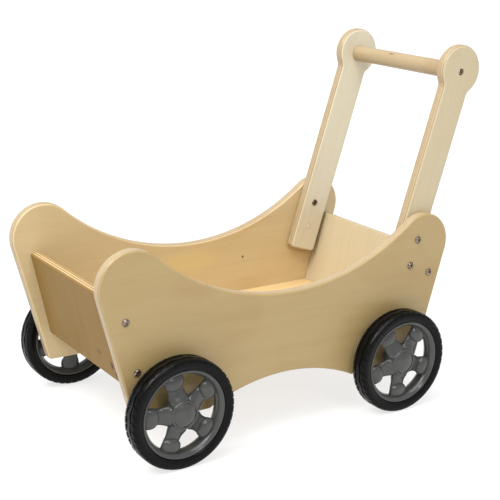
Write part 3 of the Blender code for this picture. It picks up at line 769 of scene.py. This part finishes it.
def face_side(shape, side, spin_degrees):
    """Turn a piece made facing +X to face its own side, rolled about its axis."""
    roll = Matrix.Rotation(math.radians(spin_degrees), 4, "X")
    if side < 0:
        roll = roll @ Matrix.Rotation(math.pi, 4, "Z")
    bmesh.ops.transform(shape, matrix=roll, verts=shape.verts[:])


bronze = bronzed_steel()
PANEL_SCREW_Z = {
    "front": {"upper": 0.1998, "lower": 0.1300},
    "rear": {"upper": 0.1910, "lower": 0.1210},
}
SEAT_X = OUTER_X + GAP
SCREW_ROLLS = {"upper": 12, "lower": 47}
panel_lines = {"front": (FRONT_FOOT, front_lean), "rear": (REAR_FOOT, rear_lean)}
for panel, heights in PANEL_SCREW_Z.items():
    foot, lean = panel_lines[panel]
    for level, z in heights.items():
        y = foot[0] + (z - foot[1]) * math.tan(lean) + PANEL_THICKNESS / math.cos(lean) / 2
        for name, side in SIDES.items():
            shape = domed_screw(HEAD_RADIUS_OF_SCREW, HEAD_HEIGHT, SCREW_RADIUS, SCREW_LENGTH, 0.004)
            face_side(shape, side, SCREW_ROLLS[level])
            move_shape(shape, side * SEAT_X, (y, z))
            screw = make_piece(f"screw_{panel}_{level}_{name}", shape, bronze)
            stand_for(screw, f"{panel}_panel_screw_{level}_{name}", "cradle")

bolt_ends = {"upper": ARM_INNER_X - 0.0004, "lower": ARM_INNER_X + 0.007}
for level, place in bolts.items():
    for name, side in SIDES.items():
        shape = domed_screw(
            HEAD_RADIUS_OF_SCREW, HEAD_HEIGHT, BOLT_RADIUS, SEAT_X - bolt_ends[level], 0.004
        )
        face_side(shape, side, SCREW_ROLLS[level] + 20)
        move_shape(shape, side * SEAT_X, place)
        bolt = make_piece(f"bolt_{level}_{name}", shape, bronze)
        stand_for(bolt, f"arm_bolt_{level}_{name}", "cradle")

HANDLE_SCREW_RADIUS = 0.0044
for name, side in SIDES.items():
    shape = domed_screw(HANDLE_SCREW_RADIUS, 0.002, SCREW_RADIUS, SCREW_LENGTH, 0.003)
    face_side(shape, side, 25)
    move_shape(shape, side * (ARM_OUTER_X - SCREW_RECESS + GAP), grip_axis)
    screw = make_piece(f"screw_grip_{name}", shape, bronze)
    stand_for(screw, f"handle_screw_{name}", "cradle")


# Sleeve nuts and plugs, on the arms' inner faces.  The upper bolt ends in a flanged sleeve nut that
# shows as a dark ring; the lower nut is sunk under a birch plug, cut across the grain and glued in.
NUT_RADIUS = 0.0044
NUT_BORE = 0.0033
NUT_LENGTH = 0.008
NUT_FLANGE_RADIUS = 0.0053
NUT_FLANGE = 0.0012
PLUG_RADIUS = 0.0051
PLUG_THICKNESS = 0.004
plug_finish = birch(
    "birch_plug", ("#d0c5a9", "#d0c5a9"), 2, 1.0, (0.5, 0, 0), math.radians(60), ("X", "Y", "Z"), 0.2
)
for name, side in SIDES.items():
    flanged = [
        (NUT_FLANGE, NUT_BORE + 0.0004),
        (NUT_FLANGE, NUT_FLANGE_RADIUS - 0.0010),
        (NUT_FLANGE * 0.6, NUT_FLANGE_RADIUS - 0.0002),
        (GAP, NUT_FLANGE_RADIUS),
        (GAP, NUT_RADIUS),
        (-NUT_LENGTH, NUT_RADIUS),
        (-NUT_LENGTH, NUT_BORE),
        (NUT_FLANGE - 0.0004, NUT_BORE),
    ]
    shape = bmesh.new()
    lathe(shape, flanged, 40, True)
    face_side(shape, -side, 0)
    move_shape(shape, side * ARM_INNER_X, bolts["upper"])
    nut = make_piece(f"nut_upper_{name}", shape, bronze)
    stand_for(nut, f"arm_nut_upper_{name}", "cradle")
    shape = bmesh.new()
    sleeve = [(0, NUT_RADIUS), (-NUT_LENGTH, NUT_RADIUS), (-NUT_LENGTH, NUT_BORE), (0, NUT_BORE)]
    lathe(shape, sleeve, 32, True)
    face_side(shape, -side, 0)
    move_shape(shape, side * (ARM_INNER_X + PLUG_DEPTH), bolts["lower"])
    nut = make_piece(f"nut_lower_{name}", shape, bronze)
    stand_for(nut, f"arm_nut_lower_{name}", "cradle")
    shape = bmesh.new()
    plug = [(0, 0), (0, PLUG_RADIUS - 0.0004), (-0.0004, PLUG_RADIUS)]
    plug += [(GAP - PLUG_THICKNESS, PLUG_RADIUS), (GAP - PLUG_THICKNESS, 0)]
    lathe(shape, plug, 40, False)
    face_side(shape, -side, 0)
    move_shape(shape, side * ARM_INNER_X, bolts["lower"])
    piece = make_piece(f"plug_{name}", shape, plug_finish)
    stand_for(piece, f"arm_plug_{name}", "cradle")


# Axles.  Plain 8 mm zinc-plated rods, chamfered, that pass through both sides under the floor.
# A nylon washer keeps each wheel off the side, and a push-on steel ring holds it on.
AXLE_RADIUS = 0.004
WHEEL_X = 0.164
axle_low, axle_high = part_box("front_axle")
AXLE_BORE = 0.0043


def plated_steel():
    """Bright zinc with drawing lines along the rod."""
    finish, tree, shader = new_finish("zinc_plated_steel")
    place = add_node(tree, "ShaderNodeTexCoord", {}, {})
    drawn = add_node(
        tree,
        "ShaderNodeVectorMath",
        {"operation": "MULTIPLY"},
        {0: place.outputs["Object"], 1: (12, 1800, 1800)},
    )
    lines = add_node(
        tree, "ShaderNodeTexNoise", {}, {"Vector": drawn.outputs["Vector"], "Scale": 1.0, "Detail": 2.0}
    )
    tone = add_node(tree, "ShaderNodeValToRGB", {}, {"Fac": lines.outputs["Fac"]})
    tone.color_ramp.elements[0].color = linear("#8e908f")
    tone.color_ramp.elements[1].color = linear("#c9cbca")
    tree.links.new(tone.outputs["Color"], shader.inputs["Base Color"])
    rough = add_node(
        tree, "ShaderNodeMapRange", {}, {"Value": lines.outputs["Fac"], "To Min": 0.22, "To Max": 0.38}
    )
    tree.links.new(rough.outputs["Result"], shader.inputs["Roughness"])
    shader.inputs["Metallic"].default_value = 1.0
    return finish


def moulded(name, dark, light, rough_low, rough_high, grit, relief):
    """A moulded plastic or rubber: faint clouding and the fine texture of the mould."""
    finish, tree, shader = new_finish(name)
    place = add_node(tree, "ShaderNodeTexCoord", {}, {})
    cloud = add_node(
        tree,
        "ShaderNodeTexNoise",
        {},
        {"Vector": place.outputs["Object"], "Scale": 60.0, "Detail": 3.0},
    )
    tone = add_node(tree, "ShaderNodeValToRGB", {}, {"Fac": cloud.outputs["Fac"]})
    tone.color_ramp.elements[0].position = 0.3
    tone.color_ramp.elements[0].color = linear(dark)
    tone.color_ramp.elements[1].position = 0.7
    tone.color_ramp.elements[1].color = linear(light)
    tree.links.new(tone.outputs["Color"], shader.inputs["Base Color"])
    rough = add_node(
        tree,
        "ShaderNodeMapRange",
        {},
        {"Value": cloud.outputs["Fac"], "To Min": rough_low, "To Max": rough_high},
    )
    tree.links.new(rough.outputs["Result"], shader.inputs["Roughness"])
    pits = add_node(
        tree,
        "ShaderNodeTexNoise",
        {},
        {"Vector": place.outputs["Object"], "Scale": 1 / grit, "Detail": 2.0},
    )
    bump = add_node(
        tree,
        "ShaderNodeBump",
        {},
        {"Height": pits.outputs["Fac"], "Strength": relief, "Distance": grit / 4},
    )
    tree.links.new(bump.outputs["Normal"], shader.inputs["Normal"])
    return finish


zinc = plated_steel()
nylon = moulded("black_nylon", "#1d1d1c", "#262625", 0.42, 0.55, 0.0008, 0.1)
axle_y = {"front": (axle_low.y + axle_high.y) / 2}
rear_axle_low, rear_axle_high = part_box("rear_axle")
axle_y["rear"] = (rear_axle_low.y + rear_axle_high.y) / 2
AXLE_Z = (axle_low.z + axle_high.z) / 2
WASHER_RADIUS = 0.010
RING_RADIUS = 0.009
POCKET_FLOOR = 0.0047
HUB_INNER_END = -0.0217
for end_name, y in axle_y.items():
    shape = bmesh.new()
    tip = [(axle_high.x, 0), (axle_high.x, AXLE_RADIUS - 0.001), (axle_high.x - 0.001, AXLE_RADIUS)]
    lathe(shape, tip + [(-x, radius) for x, radius in reversed(tip)], 40, False)
    move_shape(shape, 0, (y, AXLE_Z))
    axle = make_piece(f"axle_{end_name}", shape, zinc)
    stand_for(axle, f"{end_name}_axle", "cradle")
    for name, side in SIDES.items():
        corner = f"{end_name}_{name}"
        near = OUTER_X + GAP - WHEEL_X
        far = HUB_INNER_END - 0.0004
        shape = bmesh.new()
        washer = [(far, AXLE_BORE), (far, WASHER_RADIUS - 0.0003), (far - 0.0003, WASHER_RADIUS)]
        washer += [(near, WASHER_RADIUS), (near, AXLE_BORE)]
        lathe(shape, washer, 40, True)
        face_side(shape, side, 0)
        move_shape(shape, side * WHEEL_X, (y, AXLE_Z))
        piece = make_piece(f"washer_{corner}", shape, nylon)
        stand_for(piece, f"wheel_washer_{corner}", "cradle")
        foot = POCKET_FLOOR + GAP
        shape = bmesh.new()
        ring = [(foot, AXLE_BORE), (foot, RING_RADIUS), (foot + 0.0010, RING_RADIUS)]
        ring += [(foot + 0.0013, 0.0068), (foot + 0.0028, 0.0060), (foot + 0.0028, AXLE_BORE)]
        lathe(shape, ring, 40, True)
        face_side(shape, side, 0)
        move_shape(shape, side * WHEEL_X, (y, AXLE_Z))
        piece = make_piece(f"retaining_ring_{corner}", shape, zinc)
        stand_for(piece, f"axle_retainer_{corner}", "cradle")


# Tyres.  Solid black rubber, moulded in one piece and stretched onto the rim.  The tread has a wavy
# middle rib and a row of swept lugs on each shoulder; a fine ridge runs round each sidewall.
TREAD_PITCHES = 42
STEPS_PER_PITCH = 6
LUG_HEIGHT = 0.0011
LUG_SWEEP = 0.55
LUG_ROOT_RADIUS = 0.0665
TREAD_HALF_WIDTH = 0.0132
RIB_HALF_WIDTH = 0.0048
RIB_WAVE = 0.0011
SPLAY = 0.35
TYRE_PROFILE = [
    (0.0102, 0.0565),
    (0.0102, 0.0603),
    (0.0116, 0.0607),
    (0.0125, 0.0618),
    (0.0127, 0.0625),
    (0.0125, 0.0631),
    (0.0130, 0.0642),
    (0.0134, 0.0660),
    (0.0136, 0.0680),
    (0.0134, 0.0698),
    (0.0128, 0.0715),
    (0.0114, 0.0729),
    (0.0092, 0.0737),
    (0.0062, 0.0739),
    (0.0044, 0.0739),
    (0.0030, 0.0739),
    (0.0, 0.0739),
]
# The rows of lugs, as strips of the profile counted from the sidewall to the middle
SHOULDER_STRIPS = (8, 9, 10, 11, 12)
RIB_STRIPS = (15,)


def tyre_shape():
    """A tyre about the X axis, with its lugs raised and swept."""
    shape = bmesh.new()
    profile = TYRE_PROFILE + [(-x, radius) for x, radius in reversed(TYRE_PROFILE[:-1])]
    lathe(shape, profile, TREAD_PITCHES * STEPS_PER_PITCH, True)
    strips = {}
    for number, (start, end) in enumerate(zip(TYRE_PROFILE, TYRE_PROFILE[1:])):
        strips[round((start[0] + end[0]) / 2, 5), round((start[1] + end[1]) / 2, 5)] = number
    step = math.tau / (TREAD_PITCHES * STEPS_PER_PITCH)
    lugs, rib = [], []
    for face in shape.faces:
        middle = face.calc_center_median()
        radius = math.hypot(middle.y, middle.z) / math.cos(step / 2)
        key = min(strips, key=lambda place: abs(place[0] - abs(middle.x)) + abs(place[1] - radius))
        strip = strips[key]
        turn = int(math.atan2(middle.z, middle.y) % math.tau / step)
        shift = STEPS_PER_PITCH // 2 if middle.x < 0 else 0
        if strip in SHOULDER_STRIPS and (turn + shift) % STEPS_PER_PITCH:
            lugs.append(face)
        if strip in RIB_STRIPS:
            rib.append(face)
    for raised in (lugs, rib):
        top = bmesh.ops.extrude_face_region(shape, geom=raised)
        bmesh.ops.delete(shape, geom=raised, context="FACES")
        verts = [item for item in top["geom"] if isinstance(item, bmesh.types.BMVert)]
        for vert in verts:
            outward = Vector((vert.co.x * SPLAY, vert.co.y, vert.co.z)).normalized()
            vert.co += outward * LUG_HEIGHT
    for vert in shape.verts:
        radius = math.hypot(vert.co.y, vert.co.z)
        if radius > LUG_ROOT_RADIUS:
            aside = min(abs(vert.co.x) / TREAD_HALF_WIDTH, 1.0)
            angle = LUG_SWEEP * step * STEPS_PER_PITCH * aside**2
            wave = math.sin(math.atan2(vert.co.z, vert.co.y) * TREAD_PITCHES / 2)
            if abs(vert.co.x) < RIB_HALF_WIDTH:
                vert.co.x += RIB_WAVE * wave
            vert.co = Matrix.Rotation(angle, 3, "X") @ vert.co
    bmesh.ops.recalc_face_normals(shape, faces=shape.faces[:])
    return shape


def wheel_place(shape, side, spoke_angle, y):
    """Roll a wheel's piece round until a spoke is at an angle, and move it to its axle."""
    face_side(shape, side, spoke_angle if side > 0 else spoke_angle - 180)
    move_shape(shape, side * WHEEL_X, (y, AXLE_Z))


WHEEL_FACET = 360 / 28
WHEEL_ROLLS = {
    "front_left": 54 + 4 * WHEEL_FACET,
    "rear_left": 54 + 11.03 * WHEEL_FACET,
    "front_right": 18 - 14 * WHEEL_FACET,
    "rear_right": 18 - 8 * WHEEL_FACET,
}
# Black vulcanised rubber, moulded, with a sheen on its lugs.  Its reflection is set under a real
# one, because the white floor would turn it grey.
RUBBER_GLOSS = 0.12
rubber = moulded("black_rubber", "#060706", "#0b0c0b", 0.20, 0.30, 0.0007, 0.15)
rubber_shader = rubber.node_tree.nodes["Principled BSDF"]
rubber_shader.inputs["Specular IOR Level"].default_value = RUBBER_GLOSS
for end_name, y in axle_y.items():
    for name, side in SIDES.items():
        corner = f"{end_name}_{name}"
        shape = tyre_shape()
        wheel_place(shape, side, WHEEL_ROLLS[corner], y)
        tyre = make_piece(f"rubber_tyre_{corner}", shape, rubber)
        stand_for(tyre, f"tyre_{corner}", f"wheel_{corner}")


# Rims.  Mid-grey polypropylene, injection moulded with a satin skin: a lipped barrel, a hub with a
# round collar, and five spokes that each swell into a smooth pad above a narrower neck.
SPOKES = 5
RIM_BARREL = [
    (0.0099, 0.0562),
    (0.0099, 0.0599),
    (0.0104, 0.0600),
    (0.0112, 0.0599),
    (0.0117, 0.0595),
    (0.0118, 0.0588),
    (0.0116, 0.0580),
    (0.0110, 0.0571),
    (0.0100, 0.0560),
    (0.0085, 0.0547),
    (0.0065, 0.0535),
    (0.0042, 0.0526),
    (0.0018, 0.0521),
    (-0.0006, 0.0520),
    (-0.0028, 0.0523),
    (-0.0034, 0.0530),
    (-0.0060, 0.0538),
    (-0.0090, 0.0556),
    (-0.0112, 0.0575),
    (-0.0118, 0.0586),
    (-0.0117, 0.0595),
    (-0.0104, 0.0600),
    (-0.0099, 0.0599),
    (-0.0099, 0.0562),
]
RIM_HUB = [
    (POCKET_FLOOR, 0.0044),
    (POCKET_FLOOR, 0.0166),
    (0.0121, 0.0166),
    (0.0125, 0.0169),
    (0.0126, 0.0178),
    (0.0123, 0.0188),
    (0.0114, 0.0196),
    (0.0098, 0.0201),
    (0.0078, 0.0207),
    (0.0060, 0.0217),
    (0.0046, 0.0230),
    (0.0034, 0.0243),
    (0.0020, 0.0249),
    (-0.0010, 0.0250),
    (-0.0034, 0.0245),
    (-0.0038, 0.0230),
    (-0.0038, 0.0132),
    (-0.0045, 0.0125),
    (HUB_INNER_END + 0.0006, 0.0122),
    (HUB_INNER_END, 0.0116),
    (HUB_INNER_END, 0.0044),
]
# Stations along a spoke: distance from the axle, half-width and height of its front
NECK = [
    (0.0150, 0.0125, 0.0122),
    (0.0185, 0.0135, 0.0118),
    (0.0215, 0.0136, 0.0104),
    (0.0245, 0.0131, 0.0086),
    (0.0275, 0.0122, 0.0070),
    (0.0305, 0.0115, 0.0059),
    (0.0335, 0.0112, 0.0052),
    (0.0370, 0.0114, 0.0047),
    (0.0410, 0.0122, 0.0042),
]
PAD = [
    (0.0343, 0.0030, 0.0046),
    (0.0348, 0.0062, 0.0062),
    (0.0358, 0.0090, 0.0074),
    (0.0375, 0.0113, 0.0086),
    (0.0400, 0.0130, 0.0097),
    (0.0430, 0.0139, 0.0103),
    (0.0465, 0.0143, 0.0101),
    (0.0500, 0.0143, 0.0090),
    (0.0530, 0.0141, 0.0074),
    (0.0555, 0.0138, 0.0058),
]
SPOKE_BACK = -0.0034


def spoke_loft(shape, stations, squareness, number):
    """One spoke part, drawn out along Y ring by ring and then turned to its own place."""
    ring = bmesh.ops.create_circle(shape, segments=28, radius=1.0)["verts"]
    for vert in ring:
        power = 2 / squareness
        front = math.copysign(abs(vert.co.x) ** power, vert.co.x)
        width = math.copysign(abs(vert.co.y) ** power, vert.co.y)
        vert.co = Vector((front, 0, width))
    last = Matrix.Identity(4)
    edges = list({edge for vert in ring for edge in vert.link_edges})
    made = set(ring)
    for number_of_ring, (reach, half_width, front) in enumerate(stations):
        middle = (front + SPOKE_BACK) / 2
        size = Matrix.Diagonal(((front - SPOKE_BACK) / 2, 1, half_width, 1))
        here = Matrix.Translation((middle, reach, 0)) @ size
        if number_of_ring:
            grown = bmesh.ops.extrude_edge_only(shape, edges=edges)["geom"]
            ring = [item for item in grown if isinstance(item, bmesh.types.BMVert)]
            fresh = set(ring)
            made |= fresh
            edges = [
                item
                for item in grown
                if isinstance(item, bmesh.types.BMEdge) and set(item.verts) <= fresh
            ]
        else:
            first_edges = edges
        bmesh.ops.transform(shape, matrix=here @ last.inverted(), verts=ring)
        last = here
    bmesh.ops.contextual_create(shape, geom=first_edges)
    bmesh.ops.contextual_create(shape, geom=edges)
    turn = Matrix.Rotation(math.tau * number / SPOKES, 4, "X")
    bmesh.ops.transform(shape, matrix=turn, verts=list(made))


def rim_piece(finish):
    """The rim about the X axis, facing +X, with a spoke along +Y."""
    shape = bmesh.new()
    lathe(shape, RIM_BARREL, 120, True)
    rim = make_piece("rim_master", shape, finish)
    spider = bmesh.new()
    lathe(spider, RIM_HUB, 80, True)
    for number in range(SPOKES):
        spoke_loft(spider, NECK, 2.2, number)
        spoke_loft(spider, PAD, 2.1, number)
    bmesh.ops.recalc_face_normals(spider, faces=spider.faces[:])
    cut_with(rim, spider, "UNION")
    return rim


# Polypropylene from a polished mould: mid grey, with soft streaks of light on its pads
grey_plastic = moulded("satin_polypropylene", "#393a38", "#40413f", 0.18, 0.26, 0.0006, 0.10)
master = rim_piece(grey_plastic)
for end_name, y in axle_y.items():
    for name, side in SIDES.items():
        corner = f"{end_name}_{name}"
        shape = bmesh.new()
        shape.from_mesh(master.data)
        wheel_place(shape, side, WHEEL_ROLLS[corner], y)
        rim = make_piece(f"spoked_rim_{corner}", shape, grey_plastic)
        stand_for(rim, f"rim_{corner}", f"wheel_{corner}")
bpy.data.objects.remove(master)


# Hub caps.  Thin domed discs in the rims' grey plastic, snapped into the hub's pocket over the
# axle's end, with a fine gap all round.
CAP_RADIUS = 0.0163
CAP_WALL = 0.0016
CAP_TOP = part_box("hub_cap_front_left")[1].x - WHEEL_X
CAP_EDGE = 0.0116
cap_ball = (CAP_RADIUS**2 + (CAP_TOP - CAP_EDGE) ** 2) / (2 * (CAP_TOP - CAP_EDGE))


def cap_shape():
    """A dome with a skirt, about the X axis."""
    shape = bmesh.new()
    dome = []
    for step in range(13):
        angle = math.asin(CAP_RADIUS / cap_ball) * step / 12
        dome.append((CAP_TOP - cap_ball + cap_ball * math.cos(angle), cap_ball * math.sin(angle)))
    dome[-1] = (CAP_EDGE - 0.0002, CAP_RADIUS)
    inner = CAP_RADIUS - CAP_WALL
    foot = POCKET_FLOOR + GAP
    skirt = [(foot, CAP_RADIUS), (foot, inner), (CAP_EDGE - CAP_WALL, inner)]
    skirt.append((CAP_TOP - 2 * CAP_WALL, 0))
    lathe(shape, dome + skirt, 80, False)
    return shape


for end_name, y in axle_y.items():
    for name, side in SIDES.items():
        corner = f"{end_name}_{name}"
        shape = cap_shape()
        wheel_place(shape, side, WHEEL_ROLLS[corner], y)
        cap = make_piece(f"domed_cap_{corner}", shape, grey_plastic)
        stand_for(cap, f"hub_cap_{corner}", f"wheel_{corner}")


# Studio.  A plain pale floor, an even pale surround, two soft boxes in front and at the side, and
# a broad soft light from above.
def studio_floor():
    """A pale acrylic sheet, lit evenly from beneath."""
    mesh = bpy.data.meshes.new("studio_floor")
    shape = bmesh.new()
    bmesh.ops.create_grid(shape, x_segments=1, y_segments=1, size=30.0)
    shape.to_mesh(mesh)
    shape.free()
    finish, tree, shader = new_finish("pale_floor")
    shader.inputs["Base Color"].default_value = linear("#8a8a89")
    shader.inputs["Emission Color"].default_value = linear("#ffffff")
    shader.inputs["Emission Strength"].default_value = 0.72
    shader.inputs["Roughness"].default_value = 0.9
    mesh.materials.append(finish)
    floor = bpy.data.objects.new("studio_floor", mesh)
    bpy.context.scene.collection.objects.link(floor)


def soft_lamp(name, place, target, size, power, tint):
    """A square soft box that looks at a point."""
    lamp = bpy.data.lights.new(name, "AREA")
    lamp.size = size
    lamp.energy = power
    lamp.color = linear(tint)[:3]
    box = bpy.data.objects.new(name, lamp)
    box.location = place
    box.rotation_mode = "QUATERNION"
    box.rotation_quaternion = (Vector(target) - Vector(place)).to_track_quat("-Z", "Y")
    bpy.context.scene.collection.objects.link(box)


studio_floor()
surround = bpy.data.worlds.new("surround")
surround.use_nodes = True
surround.node_tree.nodes["Background"].inputs["Color"].default_value = linear("#fbfcff")
surround.node_tree.nodes["Background"].inputs["Strength"].default_value = 0.7
bpy.context.scene.world = surround
AIM = (0, 0, 0.2)
soft_lamp("key", (0.4, -1.5, 2.0), AIM, 0.8, 30, "#fffbf4")
soft_lamp("side_key", (2.1, -0.2, 1.5), AIM, 0.4, 9, "#ffffff")
overhead = bpy.data.lights.new("overhead", "SUN")
overhead.energy = 2.9
overhead.angle = math.radians(60)
canopy = bpy.data.objects.new("overhead", overhead)
canopy.rotation_euler = (math.radians(20), math.radians(6), 0)
bpy.context.scene.collection.objects.link(canopy)
view_settings = bpy.context.scene.view_settings
view_settings.view_transform = "Standard"


# Camera.  A long lens, from the front and the left, a little above the handle and rolled slightly.
camera_data = bpy.data.cameras.new("camera")
camera_data.lens = 85.4
camera_data.sensor_width = 36
camera_data.clip_start = 0.05
camera_data.clip_end = 100
camera = bpy.data.objects.new("camera", camera_data)
azimuth, elevation, roll = (math.radians(angle) for angle in (56.25, 16.26, 1.42))
back = Vector(
    (
        math.sin(azimuth) * math.cos(elevation),
        -math.cos(azimuth) * math.cos(elevation),
        math.sin(elevation),
    )
)
right = Vector((0, 0, 1)).cross(back).normalized()
up = back.cross(right)
turned_right = right * math.cos(roll) + up * math.sin(roll)
turned_up = up * math.cos(roll) - right * math.sin(roll)
facing = Matrix((turned_right, turned_up, back)).transposed()
camera.matrix_world = Matrix.Translation((1.3694, -0.9127, 0.6992)) @ facing.to_4x4()
bpy.context.scene.collection.objects.link(camera)
bpy.context.scene.camera = camera
